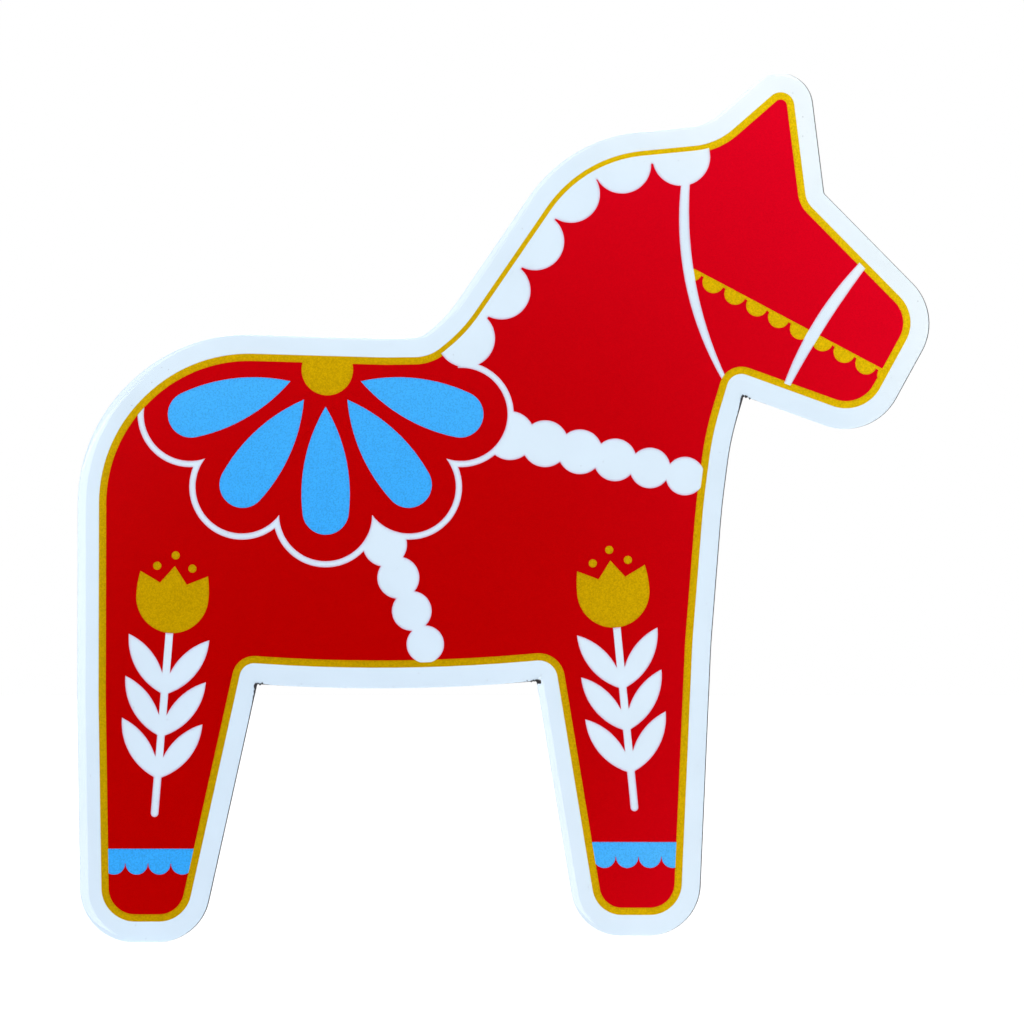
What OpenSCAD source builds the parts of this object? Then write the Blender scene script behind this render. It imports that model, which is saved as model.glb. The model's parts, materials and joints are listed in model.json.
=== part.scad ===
// Die-cut dala horse fridge magnet: a printed white film on flexible magnet sheet, upright as it hangs.
// X runs along the horse towards its muzzle, Z is up, the back lies at y = 0 and the print faces -Y.
// The layers are stacked from the back towards -Y. Every colour of ink is a deposit of its own.

/* [Horse] */
// Length of the printed horse, from rump to muzzle
horse_w = 71.4; // [66:0.1:90]
// Height of the printed horse, from hooves to ear tip
horse_h = 72.7; // [68:0.1:90]
// Height of the legs, from the hind hoof to the belly line
leg_h = 22.75; // [18.9:0.05:28]
// Depth of the barrel, from the belly line to the back
barrel_h = 26.75; // [25:0.05:32.1]
// How much higher the fore hoof stands than the hind hoof
hoof_step = 0.6; // [0:0.1:1.5]
// Width of the hind hoof, between its unrounded corners
hind_hoof_w = 7.3; // [6:0.1:10]
// Width of the fore hoof, between its unrounded corners
fore_hoof_w = 7.35; // [6:0.05:10]

/* [Outline and cut] */
// Width of the gold line around the horse
outline_w = 0.64; // [0.4:0.02:0.9]
// Width of gold left where white beads and scallops run under the line
trimmed_line_w = 0.42; // [0.2:0.02:0.6]
// White border between the print and the cut edge
border = 1.75; // [1.2:0.05:2.5]
// How far the print sits off the centre of the cut, towards the muzzle
print_dx = 0.12; // [-0.4:0.02:0.4]
// How far the print sits off the centre of the cut, upwards
print_dz = 0.06; // [-0.4:0.02:0.4]

/* [Layers] */
// Thickness of the clear varnish on the magnet's back
varnish_t = 0.02; // [0.01:0.01:0.05]
// Thickness of the flexible magnet sheet
magnet_t = 0.76; // [0.4:0.01:1.6]
// Thickness of the adhesive between magnet and film
adhesive_t = 0.03; // [0.02:0.01:0.08]
// Thickness of the white vinyl film
film_t = 0.1; // [0.06:0.01:0.2]
// Thickness of the printed ink
ink_t = 0.02; // [0.01:0.01:0.04]
// Depth of laminating adhesive in front of the ink
laminate_glue_t = 0.02; // [0.01:0.01:0.04]
// Thickness of the clear gloss overlaminate
overlaminate_t = 0.05; // [0.03:0.01:0.1]

/* [Saddle cloth] */
// From the cloth's centre to the centres of its end lobes, along X
lobe_reach_x = 12.5; // [12:0.05:14]
// From the cloth's centre to the centre of its lowest lobe
lobe_reach_z = 12.73; // [12.2:0.05:14]
// Radius of the white line around a lobe, at the middle of the line
lobe_r = 4.36; // [4.3:0.02:4.8]
// Angle from one lobe to the next
lobe_step = 36; // [34:0.5:37]
// Angle from one petal to the next
petal_step = 35.8; // [34:0.2:38]
// Width of the white line around the saddle cloth
cloth_line_w = 0.55; // [0.3:0.05:0.6]
// From the cloth's centre to the tip of a petal
petal_start = 3.25; // [2.8:0.05:4]
// Length of a petal
petal_l = 11.25; // [9:0.05:11.6]
// Greatest width of a petal
petal_w = 4.26; // [2.5:0.02:5]
// From a petal's tip to where it is widest
petal_belly = 7.7; // [6:0.1:8.5]
// Radius of the gold blossom
blossom_r = 2.27; // [1.4:0.02:2.6]

/* [Mane and beads] */
// Radius of a mane scallop
scallop_r = 2.55; // [2:0.05:3.2]
// Spacing of the scallops along the crest, near which the real spacing falls
scallop_pitch = 5.25; // [4:0.05:6]
// Depth of the scallops' centres inside the outline
scallop_inset = 0.85; // [0.5:0.05:1.2]
// How far past the scallops' centres the white strip that joins them reaches
scallop_join = 0.35; // [0.2:0.05:0.5]
// Radius of the first chest bead, at the saddle cloth
chest_bead_r1 = 2.15; // [1.6:0.05:2.4]
// Radius of the last chest bead, at the chest
chest_bead_r2 = 1.7; // [1.3:0.05:2.2]
// Spacing of the chest beads, near which the real spacing falls
chest_bead_pitch = 3.15; // [2.6:0.05:3.4]
// Radius of the first girth bead, at the saddle cloth
girth_bead_r1 = 1.95; // [1.5:0.05:2.1]
// Radius of the last girth bead, at the belly
girth_bead_r2 = 1.65; // [1.4:0.05:1.9]
// Spacing of the girth beads, near which the real spacing falls
girth_bead_pitch = 3.15; // [2.6:0.05:3.3]

/* [Sprigs and tulips] */
// Length of a sprig's stem up to the tulip
stem_l = 16.2; // [15.5:0.1:18]
// Width of a stem
stem_w = 0.68; // [0.4:0.01:0.9]
// Height of the lowest leaves on the stem
leaf_start = 3.5; // [2.5:0.05:4]
// Height from one pair of leaves to the next
leaf_pitch = 3.7; // [3:0.05:3.9]
// Reach of a leaf's tip to the side
leaf_reach = 3.55; // [2:0.05:3.8]
// Rise of a leaf's tip above its foot
leaf_rise = 4.96; // [3:0.02:5]
// Height of the notch between leaf and stem above the leaf's foot
leaf_notch = 1.8; // [1.2:0.1:2.2]
// Radius of a tulip's cup
tulip_r = 3.18; // [2.4:0.02:3.4]
// Height of a tulip's middle point above its foot
tulip_h = 5.9; // [5:0.1:6.2]
// Radius of the dots over a tulip
dot_r = 0.36; // [0.26:0.02:0.5]
// Lean of the hind sprig towards the muzzle, in degrees
hind_lean = 4.7; // [0:0.1:6]
// Lean of the fore sprig towards the rump, in degrees
fore_lean = 5.6; // [0:0.1:7]

/* [Bridle] */
// Straight depth of the gold cheek strap, above its scallops
strap_w = 0.26; // [0.2:0.02:0.5]
// Radius of the strap's scallops
strap_scallop_r = 0.96; // [0.6:0.02:1.05]
// Spacing of the strap's scallops
strap_pitch = 2.17; // [2.12:0.01:2.4]
// Slope of the cheek strap down towards the muzzle, in degrees
strap_slope = 28; // [24:0.5:31]
// Width of the white cheek band at the mane
cheek_band_w = 0.75; // [0.5:0.05:1]
// Width of the white noseband at its ends
nose_band_w = 0.6; // [0.4:0.05:0.8]

/* [Hoof bands] */
// Height of the hind band's top above the hoof
band_top = 6.4; // [5.5:0.1:7.5]
// Straight depth of a band above its scallops
band_w = 1.3; // [0.8:0.02:1.8]
// Radius of a band's scallops
band_scallop_r = 0.98; // [0.8:0.02:1]
// Spacing of a band's scallops
band_pitch = 2; // [2:0.05:2.4]

/* [Hidden] */
$fn = 96;
chord_error = 0.005;      // how far an arc's straight steps may leave the true arc
far = 2 * (horse_w + horse_h);

// Lines that the drawing hangs from, in the print's own frame
rump_x = -horse_w / 2;
muzzle_x = horse_w / 2;
hoof_z = -horse_h / 2;
ear_z = horse_h / 2;
belly_z = hoof_z + leg_h;
back_z = belly_z + barrel_h;

// Depths of the layers' backs behind the front of the magnet's back face
magnet_y = varnish_t;
adhesive_y = magnet_y + magnet_t;
film_y = adhesive_y + adhesive_t;
ink_y = film_y + film_t;
laminate_y = ink_y + ink_t + laminate_glue_t;

// Horse's outline, clockwise from the hind hoof: x, z and the radius that rounds the corner
fore_hoof_x = muzzle_x - 20.3;
chest_z = ear_z - 29.95;
stifle_z = belly_z + 1.85;
withers = [muzzle_x - 42.3, back_z + 0.05, 3.7];
lower_crest = [muzzle_x - 39.35, mix(back_z, ear_z, 0.1078), 13];  // climbs with the neck
upper_crest = [muzzle_x - 29, ear_z - 5.6, 11.5];
poll = [muzzle_x - 17.15, ear_z - 4.45, 5.9];
horse = [
    [rump_x + 0.3, hoof_z, 2.95],
    [rump_x, belly_z - 3.3, 60],
    [rump_x + 0.05, back_z - 7.3, 13],
    [rump_x + 8.1, back_z + 0.5, 13],
    [rump_x + 25.2, back_z, 26],
    withers,
    lower_crest,
    upper_crest,
    poll,
    [muzzle_x - 10.6, ear_z + 1.25, 1.2],
    [muzzle_x - 9.25, ear_z - 9.55, 2.1],
    [muzzle_x + 0.65, ear_z - 19.6, 3.25],
    [muzzle_x - 4.2, ear_z - 28.45, 3.4],
    [muzzle_x - 15.8, ear_z - 24.25, 1.3],
    [muzzle_x - 17.5, chest_z, 27],
    [muzzle_x - 18.3, chest_z + 0.34 * (stifle_z - chest_z), 60],
    [muzzle_x - 19.25, stifle_z, 60],
    [fore_hoof_x, hoof_z + hoof_step, 2.8],
    [fore_hoof_x - fore_hoof_w, hoof_z + hoof_step, 2.6],
    [muzzle_x - 31.35, belly_z + 0.3, 1.65],
    [rump_x + 26, belly_z - 0.9, 150],
    [rump_x + 12.65, belly_z, 1.3],
    [rump_x + 0.3 + hind_hoof_w, hoof_z, 2.85],
];

// Places of the motifs
cloth_at = [rump_x + 19.95, back_z - 1.05];
blossom_at = cloth_at + [0.15, 0];
chest_beads = [cloth_at + [16.2, -5.8], [muzzle_x - 19.9, back_z - 10.4]];
girth_beads = [cloth_at + [5.2, -15.35], [cloth_at.x + 8.75, belly_z + 1.6]];
hind_leg_x = rump_x + 0.3 + hind_hoof_w / 2;
fore_leg_x = fore_hoof_x - fore_hoof_w / 2;
hind_sprig_at = [hind_leg_x + 0.95, hoof_z + 9.18];
fore_sprig_at = [fore_leg_x - 0.33, hoof_z + 9.7];
hind_band_at = [hind_leg_x + 0.4, hoof_z + band_top];
fore_band_at = [fore_leg_x, hoof_z + hoof_step + band_top];
strap_at = [muzzle_x - 19.2, ear_z - 15.35];
cheek_band_top = [muzzle_x - 19.75, ear_z - 6.9];
cheek_band_foot = [muzzle_x - 16.45, ear_z - 25.1];
nose_band_top = [muzzle_x - 3.7, ear_z - 14.4];
nose_band_foot = [muzzle_x - 10.95, ear_z - 25.6];
cheek_bow = [1.57, 1.25];  // how far the cheek band's rear and front edges bow towards the neck
nose_bow = [0.75, 0.26];    // the same for the noseband

// ---- geometry of arcs and outlines ----

function flat(p) = [p.x, p.y];
function unit(v) = v / norm(v);
function mix(a, b, t) = a + t * (b - a);
function steps(r, sweep) = max(1, ceil(abs(sweep) / (2 * acos(1 - min(1, chord_error / r)))));

// Points on an arc about c, from angle a through a sweep, both ends included
function arc(c, r, a, sweep) =
    let (n = steps(r, sweep))
    [for (i = [0:n]) c + r * [cos(a + sweep * i / n), sin(a + sweep * i / n)]];

// An arc from a to b that bows to the left of the way by sag, or to the right if sag is negative
function bowed(a, b, sag) =
    let (half = norm(b - a) / 2, r = (half * half + sag * sag) / (2 * abs(sag)),
         left = unit([a.y - b.y, b.x - a.x]), c = (a + b) / 2 + left * (sag - sign(sag) * r))
    arc(c, r, atan2(a.y - c.y, a.x - c.x), -sign(sag) * 2 * asin(half / r));

// One rounded corner p of a clockwise outline, between a and b, with the outline grown by grow
function corner(a, p, b, grow) =
    let (u = unit(flat(p) - flat(a)), v = unit(flat(b) - flat(p)),
         turn = atan2(u.x * v.y - u.y * v.x, u * v),
         q = flat(p) + grow * [-u.y - v.y, u.x + v.x] / (1 + u * v),
         r = p.z - sign(turn) * grow,
         start = q - u * r * tan(abs(turn) / 2),
         c = start + sign(turn) * r * [-u.y, u.x])
    r < 4 * chord_error ? [q] : arc(c, r, atan2(start.y - c.y, start.x - c.x), turn);

function outline(grow) =
    let (n = len(horse))
    [for (i = [0:n - 1]) each corner(horse[(i + n - 1) % n], horse[i], horse[(i + 1) % n], grow)];

// The point a distance s along a path of points
function walk(path, s, i = 0) =
    let (step = norm(path[i + 1] - path[i]))
    s <= step || i == len(path) - 2 ? mix(path[i], path[i + 1], s / step) : walk(path, s - step, i + 1);
function path_length(path, i = 0) =
    i > len(path) - 2 ? 0 : norm(path[i + 1] - path[i]) + path_length(path, i + 1);

// ---- shapes, drawn flat with Z up the page ----

module horse_shape(grow) { polygon(outline(grow)); }

// A row of round beads whose size runs evenly from the first to the last
module bead_row(ends, r1, r2, pitch) {
    gaps = max(1, round(norm(ends[1] - ends[0]) / pitch));
    for (i = [0:gaps])
        translate(mix(ends[0], ends[1], i / gaps)) circle(r = mix(r1, r2, i / gaps));
}

// Round scallops set along the crest, from the withers to the poll
module mane_scallops() {
    path = concat(
        [flat(withers) + scallop_inset * [0.68, -0.73]],
        corner(withers, lower_crest, upper_crest, -scallop_inset),
        corner(lower_crest, upper_crest, poll, -scallop_inset),
        [flat(poll) - [0, scallop_inset]]);
    from = 3.45;                              // from the withers to the first scallop
    to = path_length(path) - 3.1;             // the last one stops short of the poll
    gaps = round((to - from) / scallop_pitch);
    first = walk(path, from);
    last = walk(path, to);
    for (i = [0:gaps])
        translate(walk(path, mix(from, to, i / gaps))) circle(r = scallop_r);
    intersection() {
        difference() {
            horse_shape(0);
            horse_shape(-scallop_inset - scallop_join);
        }
        translate(first) rotate(atan2(last.y - first.y, last.x - first.x))
            square([norm(last - first), far]);
    }
}

// The saddle cloth: round lobes on an ellipse about its centre, filled in between
module cloth_shape(grow) {
    translate(cloth_at) {
        for (i = [-2:2])
            translate([lobe_reach_x * sin(i * lobe_step), -lobe_reach_z * cos(i * lobe_step)])
                circle(r = lobe_r + grow);
        circle(r = lobe_reach_x * cos(lobe_step / 2) + grow);
    }
}

// A petal is bounded by two wide arcs that run out of its tip and one round end
module petal_shape(i) {
    half = petal_w / 2;
    side_r = (petal_belly * petal_belly + half * half) / (2 * half);
    rest = petal_l - petal_belly;
    end_r = (petal_belly * petal_belly - rest * rest) / (2 * (side_r - rest));
    end_at = [0, -petal_l + end_r];
    right_c = [half - side_r, -petal_belly];  // centre of the arc on the +X side
    lean = atan2(end_at.y - right_c.y, end_at.x - right_c.x);
    tip_a = atan2(-right_c.y, -right_c.x);
    right = arc(right_c, side_r, tip_a, lean - tip_a);
    round_end = arc(end_at, end_r, lean, -180 - 2 * lean);
    left = [for (k = [len(right) - 2:-1:1]) [-right[k].x, right[k].y]];
    translate(cloth_at) rotate(i * petal_step) translate([0, -petal_start])
        polygon(concat(right, [for (k = [1:len(round_end) - 1]) round_end[k]], left));
}

module blossom_disc() { translate(blossom_at) circle(r = blossom_r); }

module sprig_at(side) {
    if (side == "hind") translate(hind_sprig_at) rotate(-hind_lean) children();
    if (side == "fore") translate(fore_sprig_at) rotate(fore_lean) children();
}

// A stem with three pairs of leaves
module sprig_shape(side) {
    tip = [leaf_reach, leaf_rise];
    notch = [stem_w / 2, leaf_notch];
    foot = [stem_w / 2, 0];
    leaf = concat([[0, leaf_notch]], bowed(notch, tip, 0.48), bowed(tip, foot, 0.88), [[0, 0]]);
    sprig_at(side) {
        translate([-stem_w / 2, stem_w / 2]) square([stem_w, stem_l - stem_w / 2]);
        translate([0, stem_w / 2]) circle(r = stem_w / 2);
        for (k = [0:2]) translate([0, leaf_start + k * leaf_pitch]) {
            polygon(leaf);
            mirror([1, 0]) polygon(leaf);
        }
    }
}

// A tulip cup with three points
module tulip_shape(side) {
    point = [tulip_r - 0.2, tulip_h - 0.66];  // a side point
    notch = [1.18, tulip_h - 1.54];
    right = concat([[0, tulip_h]], [notch], bowed(point, [tulip_r, tulip_r], 0.06));
    cup = arc([0, tulip_r], tulip_r, 0, -180);
    n = len(right);
    sprig_at(side) translate([0, stem_l])
        polygon(concat(right, [for (k = [1:len(cup) - 2]) cup[k]],
            [for (k = [n - 1:-1:1]) [-right[k].x, right[k].y]]));
}

// The dots over a tulip's points
module tulip_dots_shape(side) {
    sprig_at(side) translate([0, stem_l + tulip_h]) {
        translate([0, 0.94]) circle(r = dot_r);
        for (x = [-1.55, 1.55]) translate([x, -0.1]) circle(r = dot_r);
    }
}

// A band across a hoof: straight above, scallops below, wider than the leg
module band_strip(at) {
    translate(at) {
        translate([-3 * band_pitch, -band_w]) square([6 * band_pitch, band_w]);
        for (k = [-2.5:2.5]) translate([k * band_pitch, -band_w]) circle(r = band_scallop_r);
    }
}

// A white strap between two bowed edges
module bowed_strap(top, foot, width_top, width_foot, bow) {
    across = unit([top.y - foot.y, foot.x - top.x]);
    polygon(concat(
        bowed(foot - across * width_foot / 2, top - across * width_top / 2, bow[0]),
        bowed(top + across * width_top / 2, foot + across * width_foot / 2, -bow[1])));
}

module cheek_band_shape() {
    bowed_strap(cheek_band_top, cheek_band_foot, cheek_band_w, cheek_band_w * 0.55, cheek_bow);
}

module nose_band_shape() {
    bowed_strap(nose_band_top, nose_band_foot, nose_band_w, nose_band_w, nose_bow);
}

// The gold strap from the cheek band past the muzzle, with scallops along its lower edge
module strap_strip() {
    length = (muzzle_x - strap_at.x) / cos(strap_slope);
    difference() {
        intersection() {
            translate(strap_at) rotate(-strap_slope) {
                translate([0, -strap_w]) square([length, strap_w]);
                for (s = [0:strap_pitch:length])
                    translate([s, -strap_w]) circle(r = strap_scallop_r);
            }
            polygon(ahead_of_cheek_band());
        }
        translate(strap_at) rotate(-strap_slope) translate([-length, 0]) square([3 * length, far]);
        cheek_band_shape();
        nose_band_shape();
    }
}

// White motifs that run on under the inner edge of the gold line
module white_beads() {
    mane_scallops();
    nose_band_shape();
    difference() {
        union() {
            bead_row(chest_beads, chest_bead_r1, chest_bead_r2, chest_bead_pitch);
            bead_row(girth_beads, girth_bead_r1, girth_bead_r2, girth_bead_pitch);
        }
        cloth_shape(0);
    }
}

// White motifs that stop at the inner edge of the gold line
module white_lines() {
    difference() {
        cloth_shape(cloth_line_w / 2);
        cloth_shape(-cloth_line_w / 2);
    }
    cheek_band_shape();
    sprig_shape("hind");
    sprig_shape("fore");
}

module within_line(w) {
    intersection() {
        horse_shape(-w);
        children();
    }
}

// ---- parts of the red field, each bounded by the middle of the white lines around it ----

function cheek_line() = bowed(cheek_band_foot, cheek_band_top, (cheek_bow[0] + cheek_bow[1]) / 2);
function nose_line() = bowed(nose_band_foot, nose_band_top, (nose_bow[0] + nose_bow[1]) / 2);
function ahead_of_cheek_band() = concat(cheek_line(),
    [[cheek_band_top.x, far], [far, far], [far, -far], [cheek_band_foot.x, -far]]);
function behind_nose_band() = concat(nose_line(),
    [[nose_band_top.x + 0.6, far], [-far, far], [-far, -far], [nose_band_foot.x, -far]]);
function behind_girth() = [[cloth_at.x, far], cloth_at, girth_beads[0], girth_beads[1],
    [girth_beads[1].x, -far], [-far, -far], [-far, far]];
function under_chest_beads() = [cloth_at, chest_beads[0], chest_beads[1], [far, chest_beads[1].y],
    [far, -far], [cloth_at.x, -far]];

// Everything below the middle of a hoof's band, and below the middle of the strap
module below_band(at) { translate([-far, at.y - band_w / 2 - far]) square([2 * far, far]); }
module below_strap() {
    translate(strap_at) rotate(-strap_slope) translate([-far, -strap_w / 2 - far]) square([2 * far, far]);
}

// What is left for red ink once every other colour and the bare film are taken out
module red_field() {
    difference() {
        horse_shape(-outline_w);
        white_beads();
        white_lines();
        for (side = ["hind", "fore"]) {
            tulip_shape(side);
            tulip_dots_shape(side);
        }
        strap_strip();
        band_strip(hind_band_at);
        band_strip(fore_band_at);
        children();
    }
}

// ---- sub-parts ----

module layer(depth, t) { translate([0, -depth, 0]) rotate([90, 0, 0]) linear_extrude(t) children(); }
module printed() { layer(ink_y, ink_t) translate([print_dx, print_dz]) children(); }

module back_varnish() { color("dimgray") layer(0, varnish_t) horse_shape(border); }
module magnet_sheet() { color("#2b2a2c") layer(magnet_y, magnet_t) horse_shape(border); }
module film_adhesive() { color("lightgray") layer(adhesive_y, adhesive_t) horse_shape(border); }
module white_film() { color("#eaf4fd") layer(film_y, film_t) horse_shape(border); }

module gold_outline() {
    color("#c99c10") printed() difference() {
        horse_shape(0);
        horse_shape(-outline_w);
        within_line(trimmed_line_w) white_beads();
    }
}
module blossom() { color("#c99c10") printed() within_line(outline_w) blossom_disc(); }
module petal(i) { color("#45aefd") printed() petal_shape(i); }
module petal_rear_outer() { petal(-2); }
module petal_rear_inner() { petal(-1); }
module petal_middle() { petal(0); }
module petal_fore_inner() { petal(1); }
module petal_fore_outer() { petal(2); }

module saddle_red() {
    color("#c0010a") printed() difference() {
        within_line(outline_w) cloth_shape(-cloth_line_w / 2);
        mane_scallops();
        blossom_disc();
        for (i = [-2:2]) petal_shape(i);
    }
}
module haunch_red() {
    color("#c0010a") printed() intersection() {
        red_field() {
            cloth_shape(0);
            below_band(hind_band_at);
        }
        polygon(behind_girth());
    }
}
module hind_hoof_red() {
    color("#b30101") printed() intersection() {
        red_field();
        below_band(hind_band_at);
        polygon(behind_girth());
    }
}
module shoulder_red() {
    color("#c0010a") printed() intersection() {
        red_field() {
            cloth_shape(0);
            polygon(behind_girth());
            below_band(fore_band_at);
        }
        polygon(under_chest_beads());
    }
}
module fore_hoof_red() {
    color("#b30101") printed() intersection() {
        red_field() polygon(behind_girth());
        below_band(fore_band_at);
        polygon(under_chest_beads());
    }
}
module neck_red() {
    color("#c0010a") printed() red_field() {
        cloth_shape(0);
        polygon(behind_girth());
        polygon(under_chest_beads());
        polygon(ahead_of_cheek_band());
    }
}
module cheek_red() {
    color("#d4021a") printed() intersection() {
        red_field() below_strap();
        polygon(ahead_of_cheek_band());
        polygon(behind_nose_band());
    }
}
module jaw_red() {
    color("#d4021a") printed() intersection() {
        red_field();
        below_strap();
        polygon(ahead_of_cheek_band());
        polygon(behind_nose_band());
    }
}
module nose_red() {
    color("#d4021a") printed() intersection() {
        red_field() {
            polygon(behind_nose_band());
            below_strap();
        }
        polygon(ahead_of_cheek_band());
    }
}
module chin_red() {
    color("#d4021a") printed() intersection() {
        red_field() polygon(behind_nose_band());
        below_strap();
        polygon(ahead_of_cheek_band());
    }
}
module hind_tulip() { color("#c99c10") printed() tulip_shape("hind"); }
module hind_tulip_dots() { color("#c99c10") printed() tulip_dots_shape("hind"); }
module fore_tulip() { color("#c99c10") printed() tulip_shape("fore"); }
module fore_tulip_dots() { color("#c99c10") printed() tulip_dots_shape("fore"); }
module cheek_strap() {
    color("#c99c10") printed() intersection() {
        within_line(outline_w) strap_strip();
        polygon(behind_nose_band());
    }
}
module nose_strap() {
    color("#c99c10") printed() difference() {
        within_line(outline_w) strap_strip();
        polygon(behind_nose_band());
    }
}
module hind_hoof_band() { color("#45aefd") printed() within_line(outline_w) band_strip(hind_band_at); }
module fore_hoof_band() { color("#45aefd") printed() within_line(outline_w) band_strip(fore_band_at); }

// Clear adhesive that flows into every gap in the ink, so the overlaminate lies flat
module laminate_adhesive() {
    color("#f4f8ff", 0.25) {
        layer(ink_y + ink_t, laminate_glue_t) horse_shape(border);
        layer(ink_y, ink_t) difference() {
            horse_shape(border);
            translate([print_dx, print_dz]) horse_shape(0);
        }
        printed() {
            within_line(trimmed_line_w) white_beads();
            within_line(outline_w) white_lines();
        }
    }
}
module overlaminate() { color("#f4f8ff", 0.25) layer(laminate_y, overlaminate_t) horse_shape(border); }

back_varnish();
magnet_sheet();
film_adhesive();
white_film();
gold_outline();
blossom();
petal_rear_outer();
petal_rear_inner();
petal_middle();
petal_fore_inner();
petal_fore_outer();
saddle_red();
haunch_red();
hind_hoof_red();
shoulder_red();
fore_hoof_red();
neck_red();
cheek_red();
jaw_red();
nose_red();
chin_red();
hind_tulip();
hind_tulip_dots();
fore_tulip();
fore_tulip_dots();
cheek_strap();
nose_strap();
hind_hoof_band();
fore_hoof_band();
laminate_adhesive();
overlaminate();
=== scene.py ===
import bpy, json, math, random
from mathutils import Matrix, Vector


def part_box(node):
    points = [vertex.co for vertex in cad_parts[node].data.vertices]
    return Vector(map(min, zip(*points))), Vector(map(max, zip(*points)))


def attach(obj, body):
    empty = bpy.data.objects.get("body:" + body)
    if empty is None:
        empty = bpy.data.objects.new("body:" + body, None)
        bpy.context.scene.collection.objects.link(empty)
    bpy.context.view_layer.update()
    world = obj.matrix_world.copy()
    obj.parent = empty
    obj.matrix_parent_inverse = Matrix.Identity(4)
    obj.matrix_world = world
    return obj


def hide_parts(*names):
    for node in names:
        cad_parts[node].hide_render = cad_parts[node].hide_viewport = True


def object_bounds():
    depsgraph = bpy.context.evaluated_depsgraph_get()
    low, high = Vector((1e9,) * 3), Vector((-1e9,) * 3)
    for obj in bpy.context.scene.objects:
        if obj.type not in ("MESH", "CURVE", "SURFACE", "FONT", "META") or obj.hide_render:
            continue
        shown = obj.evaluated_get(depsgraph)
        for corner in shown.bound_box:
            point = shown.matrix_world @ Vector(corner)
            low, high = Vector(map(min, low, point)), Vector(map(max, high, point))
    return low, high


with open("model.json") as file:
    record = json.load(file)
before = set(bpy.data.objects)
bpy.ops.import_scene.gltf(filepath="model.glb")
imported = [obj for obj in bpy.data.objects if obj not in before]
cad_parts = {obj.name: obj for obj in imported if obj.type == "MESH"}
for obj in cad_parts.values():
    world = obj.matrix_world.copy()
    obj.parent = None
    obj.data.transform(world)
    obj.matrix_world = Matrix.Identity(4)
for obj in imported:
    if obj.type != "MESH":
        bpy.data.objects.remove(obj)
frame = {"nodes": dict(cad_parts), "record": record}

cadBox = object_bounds()
nodes = frame["nodes"]
mm = 0.001


def srgb(code):  # sRGB hex to the linear colour that shaders take
    parts = [int(code[i:i + 2], 16) / 255 for i in (1, 3, 5)]
    return tuple(c / 12.92 if c <= 0.04045 else ((c + 0.055) / 1.055) ** 2.4 for c in parts) + (1,)


def addNode(tree, kind, settings=None, values=None, links=None):
    node = tree.nodes.new(kind)
    for name, value in (settings or {}).items():
        setattr(node, name, value)
    for key, value in (values or {}).items():
        node.inputs[key].default_value = value
    for key, source in (links or {}).items():
        tree.links.new(source, node.inputs[key])
    return node


def addMath(tree, operation, *given, clamp=False):  # each one given is a number or another node's output
    node = addNode(tree, "ShaderNodeMath", {"operation": operation, "use_clamp": clamp})
    for socket, value in zip(node.inputs, given):
        if isinstance(value, bpy.types.NodeSocket):
            tree.links.new(value, socket)
        else:
            socket.default_value = value
    return node.outputs[0]


def addRange(tree, value, span=(0.0, 1.0), to=(0.0, 1.0)):  # maps the first span to the second
    node = addNode(tree, "ShaderNodeMapRange", links={"Value": value}, values={
        "From Min": span[0], "From Max": span[1], "To Min": to[0], "To Max": to[1]})
    return node.outputs["Result"]


def grainScale(size):  # noise scale for grains of that many millimetres
    return 1 / (size * mm)


def addGrain(tree, place, size, values=None):
    return addNode(tree, "ShaderNodeTexNoise", values={"Scale": grainScale(size), **(values or {})},
                   links={"Vector": place.outputs["Object"]})


def addBump(tree, height, strength, depth):  # depth in mm
    node = addNode(tree, "ShaderNodeBump", values={"Strength": strength, "Distance": depth * mm},
                   links={"Height": height.outputs["Fac"]})
    return node.outputs[0]


def addRamp(tree, value, stops):  # stops are (place, sRGB hex)
    node = addNode(tree, "ShaderNodeValToRGB", links={"Fac": value})
    elements = node.color_ramp.elements
    while len(elements) > 1:
        elements.remove(elements[0])
    elements[0].position, elements[0].color = stops[0][0], srgb(stops[0][1])
    for place, code in stops[1:]:
        elements.new(place).color = srgb(code)
    return node.outputs["Color"]


def newMaterial(name):
    material = bpy.data.materials.new(name)
    material.use_nodes = True
    material.node_tree.nodes.clear()
    return material, material.node_tree


def setSurface(tree, shader):
    addNode(tree, "ShaderNodeOutputMaterial", links={"Surface": shader.outputs[0]})


inkLook = {
    # each ink's stops run from its painted shade to its painted light
    "red": {"stops": [(0.0, "#b20000"), (0.2, "#ba0104"), (0.4, "#c4010c"), (0.6, "#cf0214"), (1.0, "#e20321")],
            "grain": 0.16, "grainDepth": 0.05},
    "gold": {"stops": [(0.0, "#b99401"), (0.2, "#c19a03"), (0.6, "#d4ad06"), (1.0, "#e4c00b")],
             "grain": 0.14, "grainDepth": 0.17},
    "blue": {"stops": [(0.0, "#36a5f6"), (0.3, "#43aefa"), (0.6, "#55b8fb")],
             "grain": 0.15, "grainDepth": 0.14},
    "dots": {"Detail": 1.5, "Roughness": 0.6},
    "dotSpan": (0.3, 0.7),    # the noise of the darkest and of the brightest dots
    "rise": 0.566,            # how fast the painted light brightens the print from the hind hoof towards the ear, per mm
    "bend": (0.0085, 0.018),  # how much faster the painted light brightens towards the rim, along that way and across it, per square mm
    "span": (-9.0, 39.0),     # the lowest and highest sum of these on the horse
    "roughness": 0.5,         # the laminate in front gives the gloss
}


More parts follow.
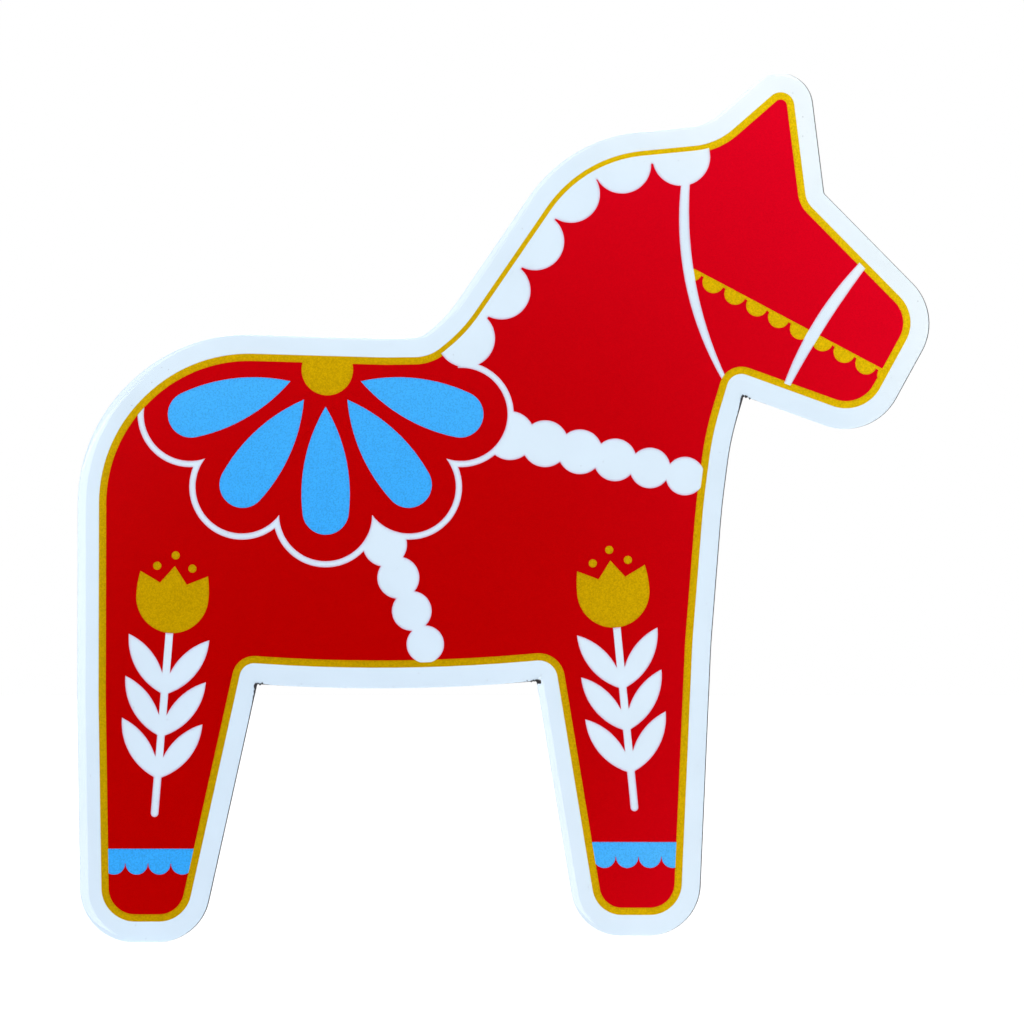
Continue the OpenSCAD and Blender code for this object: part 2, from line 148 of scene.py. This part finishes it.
def paintedLightTone(tree, place):  # 0 where the painted light is dimmest and 1 where it is brightest
    root = math.sqrt(0.5) / mm
    along, across = (
        addNode(tree, "ShaderNodeVectorMath", {"operation": "DOT_PRODUCT"}, {1: way},
                {0: place.outputs["Object"]}).outputs["Value"]
        for way in ((root, 0, root), (root, 0, -root)))
    bendAlong, bendAcross = inkLook["bend"]
    slope = addMath(tree, "MULTIPLY_ADD", along, bendAlong, inkLook["rise"])
    climb = addMath(tree, "MULTIPLY", slope, along)
    square = addMath(tree, "MULTIPLY", across, across)
    total = addMath(tree, "MULTIPLY_ADD", square, bendAcross, climb)
    return addRange(tree, total, inkLook["span"])


# Solvent ink sprayed on vinyl: flat colour built of fine dots, with painted light that brightens it towards the
# ear and the rim
def solventInk(name, look):
    material, tree = newMaterial(name)
    place = addNode(tree, "ShaderNodeTexCoord")
    # painted light: the ink's colour follows the painted light's tone across the horse
    colour = addRamp(tree, paintedLightTone(tree, place), look["stops"])
    dots = addGrain(tree, place, look["grain"], inkLook["dots"])
    depth = look["grainDepth"]
    shade = addRange(tree, dots.outputs["Fac"], inkLook["dotSpan"], (1 - depth, 1 + depth))
    tint = addNode(tree, "ShaderNodeVectorMath", {"operation": "SCALE"}, links={0: colour, "Scale": shade})
    bsdf = addNode(tree, "ShaderNodeBsdfPrincipled", links={"Base Color": tint.outputs[0]},
                   values={"Roughness": inkLook["roughness"], "Specular IOR Level": 0.0})
    setSurface(tree, bsdf)
    return material


vinylLook = {
    "stops": [(0.0, "#d6e9f9"), (0.2, "#dbedfb"), (0.7, "#deeffc"), (1.0, "#f0fafe")],  # from painted shade to painted light, along the painted light's tone
    "mottle": 6.0, "mottleDetail": 3.0,  # mm
    "mottleSpan": (0.4, 0.75), "shade": 0.965,  # the noise where it is clear and darkest, and how dark that is
    "speck": "#8f98a6", "speckPitch": 1.1,  # dust, and the size of the cells that hold a speck each, mm
    "speckReach": 0.05, "speckShare": 0.5,  # a speck's radius in cells, and how much it covers
    "roughness": 0.5,
}


# White calendered vinyl: cool white, faintly mottled, with a few specks of dust in the laminate over it, and
# painted light that brightens it towards the ear and the rim
def whiteVinyl():
    material, tree = newMaterial("white_calendered_vinyl")
    place = addNode(tree, "ShaderNodeTexCoord")
    cloud = addGrain(tree, place, vinylLook["mottle"], {"Detail": vinylLook["mottleDetail"]})
    # painted light: the white follows the painted light's tone across the horse
    colour = addRamp(tree, paintedLightTone(tree, place), vinylLook["stops"])
    dim = addRange(tree, cloud.outputs["Fac"], vinylLook["mottleSpan"], (1.0, vinylLook["shade"]))
    base = addNode(tree, "ShaderNodeVectorMath", {"operation": "SCALE"}, links={0: colour, "Scale": dim})
    cells = addNode(tree, "ShaderNodeTexVoronoi", links={"Vector": place.outputs["Object"]},
                    values={"Scale": grainScale(vinylLook["speckPitch"]), "Randomness": 1.0})
    rare = addMath(tree, "LESS_THAN", cells.outputs["Distance"], vinylLook["speckReach"])
    faint = addMath(tree, "MULTIPLY", rare, vinylLook["speckShare"])
    dusty = addNode(tree, "ShaderNodeMix", {"data_type": "RGBA"}, {7: srgb(vinylLook["speck"])},
                    {0: faint, 6: base.outputs[0]})
    bsdf = addNode(tree, "ShaderNodeBsdfPrincipled", links={"Base Color": dusty.outputs[2]},
                   values={"Roughness": vinylLook["roughness"], "Specular IOR Level": 0.0})
    setSurface(tree, bsdf)
    return material


laminateLook = {
    "ior": 1.5, "roughness": 0.07,
    "peel": 2.2, "peelDetail": 1.0, "peelStrength": 0.5, "peelDepth": 0.0012,  # waves of the rolled film, mm
    "backLimit": 0.5,  # a face whose normal points back by more than this is wetted by the glue
}


# Clear gloss overlaminate: shows what is under it, with a wet shine and the soft waves of rolled film.
# Its back is wetted by the glue, so only the outer face shines.
def glossLaminate():
    material, tree = newMaterial("clear_gloss_laminate")
    place = addNode(tree, "ShaderNodeTexCoord")
    waves = addGrain(tree, place, laminateLook["peel"], {"Detail": laminateLook["peelDetail"]})
    bump = addBump(tree, waves, laminateLook["peelStrength"], laminateLook["peelDepth"])
    edge = addNode(tree, "ShaderNodeFresnel", values={"IOR": laminateLook["ior"]}, links={"Normal": bump})
    side = addNode(tree, "ShaderNodeNewGeometry")
    facing = addNode(tree, "ShaderNodeSeparateXYZ", links={0: side.outputs["True Normal"]})
    outer = addMath(tree, "LESS_THAN", facing.outputs["Y"], laminateLook["backLimit"])
    entered = addMath(tree, "SUBTRACT", 1.0, side.outputs["Backfacing"])
    shiny = addMath(tree, "MULTIPLY", outer, entered)
    share = addMath(tree, "MULTIPLY", edge.outputs[0], shiny)
    clear = addNode(tree, "ShaderNodeBsdfTransparent", values={"Color": (1, 1, 1, 1)})
    shine = addNode(tree, "ShaderNodeBsdfGlossy", values={"Roughness": laminateLook["roughness"]},
                    links={"Normal": bump})
    both = addNode(tree, "ShaderNodeMixShader", links={0: share, 1: clear.outputs[0], 2: shine.outputs[0]})
    setSurface(tree, both)
    return material


rubberLook = {
    "stops": [(0.4, "#29282c"), (0.75, "#3b3a3f")],  # bare and dusty
    "grain": 0.25, "grainDetail": 4.0,               # mm
    "grit": 0.07, "gritDetail": 2.0, "gritStrength": 0.4, "gritDepth": 0.02,  # mm
    "roughness": 0.8,
}


# Ferrite-filled rubber, cut by a steel rule: matt near-black with a gritty, slightly dusty edge
def ferriteRubber():
    material, tree = newMaterial("ferrite_rubber")
    place = addNode(tree, "ShaderNodeTexCoord")
    powder = addGrain(tree, place, rubberLook["grain"], {"Detail": rubberLook["grainDetail"]})
    colour = addRamp(tree, powder.outputs["Fac"], rubberLook["stops"])
    grit = addGrain(tree, place, rubberLook["grit"], {"Detail": rubberLook["gritDetail"]})
    bump = addBump(tree, grit, rubberLook["gritStrength"], rubberLook["gritDepth"])
    bsdf = addNode(tree, "ShaderNodeBsdfPrincipled", values={"Roughness": rubberLook["roughness"]},
                   links={"Base Color": colour, "Normal": bump})
    setSurface(tree, bsdf)
    return material


backLook = {
    "stops": [(0.1, "#343237"), (0.6, "#3e3c41")],
    "bands": {"Scale": 25.0, "Distortion": 0.6, "Detail": 2.0, "Detail Scale": 3.0},  # 12.6 mm apart
    "rolling": 1.6, "rollingDetail": 4.0, "rollingStrength": 0.3, "rollingDepth": 0.01,  # mm
    "roughness": (0.36, 0.5),
}


# Varnished back of calendered magnet sheet: satin charcoal, with faint bands
def varnishedBack():
    material, tree = newMaterial("uv_varnished_ferrite_back")
    place = addNode(tree, "ShaderNodeTexCoord")
    wave = addNode(tree, "ShaderNodeTexWave", {"wave_type": "BANDS", "bands_direction": "Z"},
                   backLook["bands"], {"Vector": place.outputs["Object"]})
    cloud = addGrain(tree, place, backLook["rolling"], {"Detail": backLook["rollingDetail"]})
    mixed = addMath(tree, "MULTIPLY", wave.outputs["Fac"], cloud.outputs["Fac"])
    colour = addRamp(tree, mixed, backLook["stops"])
    rough = addRange(tree, mixed, to=backLook["roughness"])
    bump = addBump(tree, cloud, backLook["rollingStrength"], backLook["rollingDepth"])
    bsdf = addNode(tree, "ShaderNodeBsdfPrincipled",
                   links={"Base Color": colour, "Roughness": rough, "Normal": bump})
    setSurface(tree, bsdf)
    return material


glueLook = {"stops": [(0.35, "#2b2b2f"), (0.75, "#5a5b62")], "milk": 0.5, "roughness": 0.35}  # milk in mm


# Clear acrylic adhesive on dark rubber, seen only at the cut: it shows the rubber, clouded with dust
def acrylicAdhesive():
    material, tree = newMaterial("acrylic_adhesive")
    place = addNode(tree, "ShaderNodeTexCoord")
    milk = addGrain(tree, place, glueLook["milk"])
    colour = addRamp(tree, milk.outputs["Fac"], glueLook["stops"])
    bsdf = addNode(tree, "ShaderNodeBsdfPrincipled", values={"Roughness": glueLook["roughness"]},
                   links={"Base Color": colour})
    setSurface(tree, bsdf)
    return material


featherLook = {
    "tint": (1.0, 0.875, 0.92, 1),  # what each face of the spray lets through at the ink's edge
    "grain": 0.1, "dots": {"Detail": 1.0},
    "dotSpan": (0.3, 0.7), "uneven": (0.7, 1.3),  # the noise of the thinnest and thickest dots, and their cover
}


# Overspray of the red ink: a clear tint, as solvent ink is, that thins out past its edge
def redOverspray():
    material, tree = newMaterial("red_ink_overspray")
    fade = addNode(tree, "ShaderNodeAttribute", {"attribute_name": "fade"})
    place = addNode(tree, "ShaderNodeTexCoord")
    dots = addGrain(tree, place, featherLook["grain"], featherLook["dots"])
    uneven = addRange(tree, dots.outputs["Fac"], featherLook["dotSpan"], featherLook["uneven"])
    cover = addMath(tree, "MULTIPLY", fade.outputs["Fac"], uneven, clamp=True)
    tint = addNode(tree, "ShaderNodeMix", {"data_type": "RGBA"}, {6: (1, 1, 1, 1), 7: featherLook["tint"]},
                   {0: cover})
    clear = addNode(tree, "ShaderNodeBsdfTransparent", links={"Color": tint.outputs[2]})
    setSurface(tree, clear)
    return material


red = solventInk("red_solvent_ink", inkLook["red"])
gold = solventInk("gold_solvent_ink", inkLook["gold"])
blue = solventInk("blue_solvent_ink", inkLook["blue"])
vinyl, laminate, rubber = whiteVinyl(), glossLaminate(), ferriteRubber()
varnish, adhesive, overspray = varnishedBack(), acrylicAdhesive(), redOverspray()

slotMaterial = {"red_ink": red, "gold_ink": gold, "blue_ink": blue, "magnet_rubber": rubber,
                "back_varnish": varnish, "adhesive": adhesive, "white_vinyl": vinyl, "overlaminate": laminate}
for part in frame["record"]["subparts"]:
    piece = nodes[part["node"]]
    piece.data.materials.clear()
    piece.data.materials.append(slotMaterial[part["material_slot"]])
print("materials given to", len(nodes), "pieces")

outlines = {
    "decimals": 7, "flat": 1e-7,  # corners are one, and faces in one plane, when they agree to this, m
    "mitre": 4.0,                 # the furthest that a sharp corner moves when its sides move out by one
    "foldedBack": 0.05,           # keeps a corner that turns right back from moving without limit
}


def frontLoops(name):  # closed loops around a node's front face, the face on their left as seen from the front
    mesh = nodes[name].data
    front = min(v.co.y for v in mesh.vertices)
    key = lambda i: tuple(round(mesh.vertices[i].co[axis], outlines["decimals"]) for axis in (0, 2))
    edges = set()
    for face in mesh.polygons:
        if all(abs(mesh.vertices[i].co.y - front) < outlines["flat"] for i in face.vertices):
            ring = [key(i) for i in face.vertices]
            edges.update(zip(ring, ring[1:] + ring[:1]))
    after = {}
    for a, b in sorted(edges):
        if (b, a) not in edges:
            after.setdefault(a, []).append(b)
    loops = []
    while after:
        start = next(iter(after))
        loop, here = [start], after[start].pop()
        while here != start:
            loop.append(here)
            here = after[here].pop()
        after = {a: b for a, b in after.items() if b}
        loops.append(loop)
    return loops


def outward(loop, limit):  # for each corner, the way that moves both its sides out by one
    found, n = [], len(loop)
    for i in range(n):
        p, q, r = (Vector(loop[j % n]) for j in (i - 1, i, i + 1))
        d, e = (q - p).normalized(), (r - q).normalized()
        a, b = Vector((d.y, -d.x)), Vector((e.y, -e.x))
        m = (a + b) / max(1 + a.dot(b), outlines["foldedBack"])
        found.append(m if m.length <= limit else m.normalized() * limit)
    return found


def turnAngle(loop, i):
    n = len(loop)
    p, q, r = (Vector(loop[j % n]) for j in (i - 1, i, i + 1))
    d, e = q - p, r - q
    return math.atan2(d.x * e.y - d.y * e.x, d.dot(e))


def newPiece(name, verts, faces, material, edges=()):
    mesh = bpy.data.meshes.new(name)
    mesh.from_pydata(verts, edges, faces)
    mesh.update()
    piece = bpy.data.objects.new(name, mesh)
    bpy.context.scene.collection.objects.link(piece)
    mesh.materials.append(material)
    return piece


def newTree(name, sizes):  # a tree with Geometry in and out, and one number input for each size
    tree = bpy.data.node_groups.new(name, "GeometryNodeTree")
    tree.interface.new_socket("Geometry", in_out="INPUT", socket_type="NodeSocketGeometry")
    for label in sizes:
        tree.interface.new_socket(label, in_out="INPUT", socket_type="NodeSocketFloat")
    tree.interface.new_socket("Geometry", in_out="OUTPUT", socket_type="NodeSocketGeometry")
    return tree, addNode(tree, "NodeGroupInput")


def closeTree(tree, geometry, material):  # ends a tree with real geometry in one material
    real = addNode(tree, "GeometryNodeRealizeInstances", links={0: geometry})
    painted = addNode(tree, "GeometryNodeSetMaterial", values={"Material": material},
                      links={"Geometry": real.outputs[0]})
    addNode(tree, "NodeGroupOutput", links={0: painted.outputs[0]})


def runTree(piece, tree, sizes):  # sets the tree's inputs, runs it and keeps the result as a plain mesh
    modifier = piece.modifiers.new(tree.name, "NODES")
    modifier.node_group = tree
    for item in tree.interface.items_tree:
        if item.in_out == "INPUT" and item.name in sizes:
            modifier[item.identifier] = sizes[item.name]
    graph = bpy.context.evaluated_depsgraph_get()
    mesh = bpy.data.meshes.new_from_object(piece.evaluated_get(graph), preserve_all_data_layers=True,
                                           depsgraph=graph)
    piece.modifiers.clear()
    piece.data = mesh


# Film and laminate, rolled back along the cut
cutSheet = {
    "insets": (0, 0.03, 0.07, 0.12, 0.18, 0.26, 0.36, 0.5, 0.65, 0.8, 1.0),  # rings inside the cut, mm
    "roll": 1.0,             # how far in the edge starts to roll back, mm
    "filmDrop": 0.085,       # how far the film's edge rolls back, mm
    "laminateDrop": 0.14,    # and the laminate's front
    "bondDrop": 0.095,       # and the laminate's back
    "laminateGap": 0.016,    # air in front of the ink, mm, so that no two faces lie in one plane
    "setBack": 0.05,         # how far the film stops short of the rubber on sides that face the muzzle, mm
    "sharp": 45,             # inner corners that turn by more degrees than this tore when they were cut
    "tear": 0.3, "tearReach": 0.9,  # depth of the tears, and how they die away along the cut, mm
    "tearWay": (0.8, -0.6),  # only sides that face this way tore
    "jag": (0.15, 1.0),      # the shallowest and deepest jag, as shares of a tear's depth
    "tearStep": 0.12, "fineReach": 4, "plainStep": 1.5,  # points along the cut, close together near tears, mm
    "smooth": 35,            # edges that turn by more degrees than this stay sharp
    "seed": 5,
}


def nearSharp(loop):  # each point's distance along the loop to the nearest sharp inner corner
    far = [0.0]
    for p, q in zip(loop, loop[1:] + loop[:1]):
        far.append(far[-1] + math.dist(p, q))
    whole = far.pop()
    sharp = [far[i] for i in range(len(loop)) if turnAngle(loop, i) < -math.radians(cutSheet["sharp"])]
    return [min(min(abs(f - g), whole - abs(f - g)) for g in sharp) for f in far]


def denser(loop):  # adds points along straight sides, close together where the film tore
    near, found = nearSharp(loop), []
    fine, plain, reach = (cutSheet[size] * mm for size in ("tearStep", "plainStep", "fineReach"))
    for i, p in enumerate(loop):
        j = (i + 1) % len(loop)
        q = loop[j]
        length = math.dist(p, q)
        at = 0.0
        while at < length - fine / 2:
            found.append(tuple(a + (b - a) * at / length for a, b in zip(p, q)))
            gap = min(near[i] + at, near[j] + length - at)
            at += fine if gap < reach else plain
    return found


cutLoop = denser(max(frontLoops("white_film"), key=len))
cutOut = outward(cutLoop, outlines["mitre"])
sharpCorners = [i for i in range(len(cutLoop)) if turnAngle(cutLoop, i) < -math.radians(cutSheet["sharp"])]
random.seed(cutSheet["seed"])
setBack = []
for m, gap in zip(cutOut, nearSharp(cutLoop)):
    side = m.normalized()
    tornSide = max(0.0, side.dot(Vector(cutSheet["tearWay"])))
    jag = random.uniform(*cutSheet["jag"])
    setBack.append(cutSheet["setBack"] * max(0.0, side.x)
                   + cutSheet["tear"] * tornSide * jag * math.exp(-gap / (cutSheet["tearReach"] * mm)))
print("cut outline has", len(cutLoop), "points and", len(sharpCorners), "sharp inner corners")


# Moves points back from the front by a quarter round, deeper the nearer they lie to the cut
def rolledEdgeTree(material):
    tree, given = newTree("rolledEdge", ("Roll Width", "Roll Depth"))
    inset, part = (addNode(tree, "GeometryNodeInputNamedAttribute", {"data_type": "FLOAT"}, {"Name": name})
                   for name in ("inset", "share"))
    share = addNode(tree, "ShaderNodeMapRange", values={"From Min": 0.0, "To Min": 1.0, "To Max": 0.0},
                    links={"Value": inset.outputs[0], "From Max": given.outputs["Roll Width"]})
    square = addMath(tree, "POWER", share.outputs[0], 2.0)
    root = addMath(tree, "SQRT", addMath(tree, "SUBTRACT", 1.0, square))
    fall = addMath(tree, "SUBTRACT", 1.0, root)
    drop = addMath(tree, "MULTIPLY", fall, given.outputs["Roll Depth"])
    back = addMath(tree, "MULTIPLY", drop, part.outputs[0])
    shift = addNode(tree, "ShaderNodeCombineXYZ", links={"Y": back})
    moved = addNode(tree, "GeometryNodeSetPosition",
                    links={"Geometry": given.outputs["Geometry"], "Offset": shift.outputs[0]})
    closeTree(tree, moved.outputs[0], material)
    return tree


# A sheet with the cut outline, from its front's y to its back's. The drops are how far they roll back, mm.
def cutSheetPiece(name, material, front, back, drop, backDrop):
    n, insets = len(cutLoop), cutSheet["insets"]
    verts, inset, faces = [], [], []
    def ring(y, d):
        first = len(verts)
        for p, m, s in zip(cutLoop, cutOut, setBack):
            into = (d + s * (1 - d / cutSheet["roll"])) * mm
            verts.append((p[0] - m.x * into, y, p[1] - m.y * into))
            inset.append(d * mm)
        return first
    def band(a, b):  # faces between two rings, pointing left of a to b
        for i in range(n):
            j = (i + 1) % n
            faces.append((a + i, a + j, b + j, b + i))
    fronts = [ring(front, d) for d in insets]
    backFrom = len(verts)
    backs = [ring(back, d) for d in (insets if backDrop else insets[:1])]
    for a, b in zip(fronts, fronts[1:]):
        band(a, b)
    faces.append(tuple(fronts[-1] + i for i in range(n)))
    for a, b in zip(backs, backs[1:]):
        band(b, a)
    faces.append(tuple(backs[-1] + i for i in reversed(range(n))))
    band(backs[0], fronts[0])
    piece = newPiece(name, verts, faces, material)
    shares = [1.0] * backFrom + [backDrop / drop] * (len(verts) - backFrom)
    for label, values in (("inset", inset), ("share", shares)):
        piece.data.attributes.new(label, "FLOAT", "POINT").data.foreach_set("value", values)
    runTree(piece, rolledEdgeTree(material), {"Roll Width": cutSheet["roll"] * mm, "Roll Depth": drop * mm})
    piece.data.shade_smooth()
    piece.data.set_sharp_from_angle(angle=math.radians(cutSheet["smooth"]))
    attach(piece, "root")
    return piece


filmLow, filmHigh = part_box("white_film")
film = cutSheetPiece("vinyl_film", vinyl, filmLow.y, filmHigh.y, cutSheet["filmDrop"], 0.0)
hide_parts("white_film")
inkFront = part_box("gold_outline")[0].y
clear = cutSheetPiece("gloss_laminate", laminate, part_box("overlaminate")[0].y,
                      inkFront - cutSheet["laminateGap"] * mm, cutSheet["laminateDrop"], cutSheet["bondDrop"])
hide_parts("overlaminate", "laminate_adhesive")
print("film and laminate built")

# Overspray around the red ink, in mm
oversprayPiece = {"width": 0.18, "proud": 0.004, "thick": 0.006, "mitre": 1.6}


# Widens each outline outwards into a strip, and marks how the spray thins from its inner edge
def oversprayTree(material):
    tree, given = newTree("oversprayStrip", ("Width",))
    number = {"data_type": "FLOAT", "domain": "POINT"}
    way = addNode(tree, "GeometryNodeInputNamedAttribute", {"data_type": "FLOAT_VECTOR"}, {"Name": "outward"})
    full = addNode(tree, "GeometryNodeStoreNamedAttribute", number, {"Name": "fade", "Value": 1.0},
                   {"Geometry": given.outputs["Geometry"]})
    strip = addNode(tree, "GeometryNodeExtrudeMesh", {"mode": "EDGES"}, links={
        "Mesh": full.outputs[0], "Offset": way.outputs[0], "Offset Scale": given.outputs["Width"]})
    none = addNode(tree, "GeometryNodeStoreNamedAttribute", number, {"Name": "fade", "Value": 0.0},
                   {"Geometry": strip.outputs["Mesh"], "Selection": strip.outputs["Top"]})
    closeTree(tree, none.outputs[0], material)
    return tree


verts, edges, ways = [], [], []
redNodes = [p["node"] for p in frame["record"]["subparts"] if p["material_slot"] == "red_ink"]
for name in redNodes:
    for loop in frontLoops(name):
        first = len(verts)
        for p, m in zip(loop, outward(loop, oversprayPiece["mitre"])):
            verts.append((p[0], inkFront - oversprayPiece["proud"] * mm, p[1]))
            ways += [m.x, 0.0, m.y]
        edges += [(first + i, first + (i + 1) % len(loop)) for i in range(len(loop))]
spray = newPiece("red_overspray", verts, [], overspray, edges)
spray.data.attributes.new("outward", "FLOAT_VECTOR", "POINT").data.foreach_set("vector", ways)
runTree(spray, oversprayTree(overspray), {"Width": oversprayPiece["width"] * mm})
solid = spray.modifiers.new("thickness", "SOLIDIFY")
solid.thickness = oversprayPiece["thick"] * mm
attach(spray, "root")
print("overspray follows", len(redNodes), "inks with", len(spray.data.polygons), "faces")

# Crumbs torn from the rubber where the cutting rule turned sharply
crumbs = {
    "seed": 11,
    "perCorner": 18,
    "spread": 0.9, "scatter": 0.5,  # how far along a side they lie, mm, and the bell curve of that
    "plainSide": 0.25,              # how much of that spread a side has that did not tear
    "inside": (-0.02, 0.14),        # how far inside the cut they lie, mm
    "behind": (0.0, 0.08),          # how far behind the film's front, mm
    "low": 0.06, "high": 0.2,       # crumb sizes, mm
    "lumps": 1.4, "push": (0.35, 1.5),  # how uneven each is: noise scale, and its least and greatest radius
    "turn": (6.28, 6.28, 6.28),     # turned every way, radians
    "turnSeed": 3, "sizeSeed": 7,
    "bunch": {"at": (3.09, -15.22), "count": 36,  # at the corner by the foreleg, mm
              "reach": 0.15, "sunk": 0.08},       # how far it spreads, and how far it sits behind the front, mm
}


def crumbTree(material):
    tree, given = newTree("tornCrumbs", ("Smallest", "Largest"))
    ball = addNode(tree, "GeometryNodeMeshIcoSphere", values={"Radius": 1.0, "Subdivisions": 2})
    place = addNode(tree, "GeometryNodeInputPosition")
    rough = addNode(tree, "ShaderNodeTexNoise", values={"Scale": crumbs["lumps"]},
                    links={"Vector": place.outputs[0]})
    push = addRange(tree, rough.outputs["Fac"], to=crumbs["push"])
    lump = addNode(tree, "ShaderNodeVectorMath", {"operation": "SCALE"},
                   links={0: place.outputs[0], "Scale": push})
    shaped = addNode(tree, "GeometryNodeSetPosition",
                     links={"Geometry": ball.outputs["Mesh"], "Position": lump.outputs[0]})
    turn = addNode(tree, "FunctionNodeRandomValue", {"data_type": "FLOAT_VECTOR"},
                   {"Seed": crumbs["turnSeed"], 1: crumbs["turn"]})
    size = addNode(tree, "FunctionNodeRandomValue", {"data_type": "FLOAT"}, {"Seed": crumbs["sizeSeed"]},
                   {2: given.outputs["Smallest"], 3: given.outputs["Largest"]})
    even = addNode(tree, "ShaderNodeCombineXYZ", links={axis: size.outputs[1] for axis in "XYZ"})
    spread = addNode(tree, "GeometryNodeInstanceOnPoints", links={
        "Points": given.outputs["Geometry"], "Instance": shaped.outputs[0],
        "Rotation": turn.outputs[0], "Scale": even.outputs[0]})
    closeTree(tree, spread.outputs[0], material)
    return tree


random.seed(crumbs["seed"])
points = []
for i in sharpCorners:
    corner = Vector(cutLoop[i])
    ways = [(Vector(cutLoop[(i + s) % len(cutLoop)]) - corner).normalized() for s in (-1, 1)]
    faces = [Vector((ways[0].y, -ways[0].x)) * -1, Vector((ways[1].y, -ways[1].x))]  # outward, off each side
    for k in range(crumbs["perCorner"]):
        way, face = random.choice(list(zip(ways, faces)))
        facing = max(0.0, face.dot(Vector(cutSheet["tearWay"])))
        along = abs(random.gauss(0, crumbs["scatter"])) * crumbs["spread"] * mm * (crumbs["plainSide"] + facing)
        p = corner + way * along - face * random.uniform(*crumbs["inside"]) * mm
        points.append((p.x, filmLow.y + random.uniform(*crumbs["behind"]) * mm, p.y))
bunch = crumbs["bunch"]
for k in range(bunch["count"]):
    x, z = (at * mm + random.uniform(-1, 1) * bunch["reach"] * mm for at in bunch["at"])
    points.append((x, cadBox[0][1] + bunch["sunk"] * mm, z))
torn = newPiece("torn_crumbs", points, [], rubber)
runTree(torn, crumbTree(rubber), {"Smallest": crumbs["low"] / 2 * mm, "Largest": crumbs["high"] / 2 * mm})
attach(torn, "root")
print("crumbs at", len(sharpCorners), "inner corners")

floorLook = {
    "size": 8.0, "below": 0.02,  # its side in m, and how far under the hooves it lies in mm
    "colour": "#fbfbfc", "roughness": 0.9,
    "tooth": 1.2, "toothDetail": 3.0, "toothStrength": 0.05, "toothDepth": 0.05,  # mm
}


# Matt white card
def mattCard():
    material, tree = newMaterial("matt_card")
    place = addNode(tree, "ShaderNodeTexCoord")
    tooth = addGrain(tree, place, floorLook["tooth"], {"Detail": floorLook["toothDetail"]})
    bump = addBump(tree, tooth, floorLook["toothStrength"], floorLook["toothDepth"])
    bsdf = addNode(tree, "ShaderNodeBsdfPrincipled", links={"Normal": bump}, values={
        "Base Color": srgb(floorLook["colour"]), "Roughness": floorLook["roughness"],
        "Specular IOR Level": 0.0})
    setSurface(tree, bsdf)
    return material


half = floorLook["size"] / 2
level = cadBox[0][2] - floorLook["below"] * mm
corners = [(x * half, y * half, level) for x, y in ((-1, -1), (1, -1), (1, 1), (-1, 1))]
floor = newPiece("floor", corners, [(0, 1, 2, 3)], mattCard())
floor.visible_glossy = False  # the gloss front doesn't mirror the floor

lights = {
    "skyLight": 0.3,  # what the white room gives the object
    "lamps": {"key": {"at": (-0.39, -0.88, 0.28), "size": (0.4, 0.4), "watts": 1.6},
              "top": {"at": (0.12, -0.85, 0.5), "size": (0.36, 0.36), "watts": 0.88},
              "fill": {"at": (0.65, -0.75, 0.02), "size": (0.5, 0.5), "watts": 0.65},
              "strip": {"at": (-0.52, -0.74, -0.06), "size": (0.88, 0.38), "watts": 4.7}},
    "glossOnly": ["strip"],  # seen in the gloss of the rolled edges, and lights nothing else
    "ceiling": {"strength": 2.8, "angle": 25},  # a wide lamp straight above, in degrees, for the floor
}
world = bpy.data.worlds.new("white_room")
bpy.context.scene.world = world
world.use_nodes = True
room = world.node_tree
room.nodes.clear()
seen = addNode(room, "ShaderNodeLightPath")
amount = addRange(room, seen.outputs["Is Camera Ray"], to=(lights["skyLight"], 1.0))
sky = addNode(room, "ShaderNodeBackground", values={"Color": (1, 1, 1, 1)}, links={"Strength": amount})
addNode(room, "ShaderNodeOutputWorld", links={"Surface": sky.outputs[0]})
world.cycles_visibility.glossy = False  # the front mirrors the dark behind the camera, not the white room

for name, look in lights["lamps"].items():
    data = bpy.data.lights.new(name, "AREA")
    data.shape, data.energy = "RECTANGLE", look["watts"]
    data.size, data.size_y = look["size"]
    lamp = bpy.data.objects.new(name, data)
    bpy.context.scene.collection.objects.link(lamp)
    lamp.location = look["at"]
    lamp.rotation_euler = (-Vector(look["at"])).to_track_quat("-Z", "Y").to_euler()
    lamp.visible_diffuse = name not in lights["glossOnly"]

ceiling = bpy.data.lights.new("ceiling", "SUN")
ceiling.energy, ceiling.angle = lights["ceiling"]["strength"], math.radians(lights["ceiling"]["angle"])
ceiling.use_shadow = False  # so that no hard line shows on the floor at the hooves
bpy.context.scene.collection.objects.link(bpy.data.objects.new("ceiling", ceiling))

view = {
    "azimuth": 2.0, "elevation": 0.0,  # degrees
    "distance": 3.0, "near": 0.01,     # m
    "frame": 89.85,                    # how much the view takes in at the object, mm
    "aim": (0.72, -0.5, -0.34),        # mm
}
a, e = math.radians(view["azimuth"]), math.radians(view["elevation"])
aim = Vector(view["aim"]) * mm
lens = bpy.data.cameras.new("camera")
camera = bpy.data.objects.new("camera", lens)
bpy.context.scene.collection.objects.link(camera)
way = Vector((math.sin(a) * math.cos(e), -math.cos(a) * math.cos(e), math.sin(e)))
camera.location = aim + view["distance"] * way
camera.rotation_euler = (aim - camera.location).to_track_quat("-Z", "Y").to_euler()
lens.angle = 2 * math.atan(view["frame"] * mm / 2 / view["distance"])
lens.clip_start = view["near"]
bpy.context.scene.camera = camera
bpy.context.scene.view_settings.view_transform = "Standard"
print("room ready")
